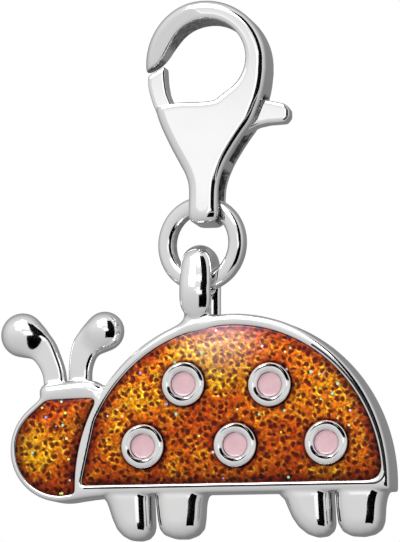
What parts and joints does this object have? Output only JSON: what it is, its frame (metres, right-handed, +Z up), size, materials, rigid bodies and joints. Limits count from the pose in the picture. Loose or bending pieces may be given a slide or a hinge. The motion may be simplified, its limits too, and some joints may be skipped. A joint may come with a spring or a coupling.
{
  "type": "dangle charm",
  "caption": "Ladybird dangle charm in polished silver with amber glitter enamel, hung by a jump ring from a lobster clasp that clips it to a bracelet or bag.",
  "frame": {"origin": "where the charm hangs: the inner top of the clasp's hook, halfway through its depth", "axes": "+Z up, along the line the charm hangs in; -Y towards the enamelled front; +X towards the lever's thumb tab and the ladybird's tail end"},
  "size_m": [0.0214, 0.0034, 0.0284],
  "materials": {
    "silver": "polished sterling silver",
    "amber_enamel": "clear amber glitter enamel over a dimpled ground",
    "pink_enamel": "opaque pale pink enamel"
  },
  "bodies": {
    "clasp": {"clasp_body": "silver", "lever_pin": "silver"},
    "lever": {"clasp_lever": "silver"},
    "ring": {"jump_ring": "silver"},
    "ladybird": {"ladybird_frame": "silver", "shell_enamel": "amber_enamel", "head_enamel": "amber_enamel", "spot_enamel_1": "pink_enamel", "spot_enamel_2": "pink_enamel", "spot_enamel_3": "pink_enamel", "spot_enamel_4": "pink_enamel", "spot_enamel_5": "pink_enamel"}
  },
  "joints": [
    {"name": "lever_hinge", "type": "hinge", "parent": "clasp", "child": "lever", "pos_m": [-0.00045, -0.00004, -0.00675], "axis": [-0.0872, 0.9962, 0], "range_deg": [0, 15], "stiffness_Nm_per_rad": 0.005, "springref_deg": -20.05},
    {"name": "ring_swing", "type": "hinge", "parent": "clasp", "child": "ring", "pos_m": [-0.0003, 0, -0.00973], "axis": [0.9816, -0.1908, 0], "range_deg": [-26, 26]},
    {"name": "drop_sway", "type": "hinge", "parent": "ring", "child": "ladybird", "pos_m": [-0.0003, 0, -0.01178], "axis": [0.1908, 0.9816, 0], "range_deg": [-40, 40]}
  ]
}
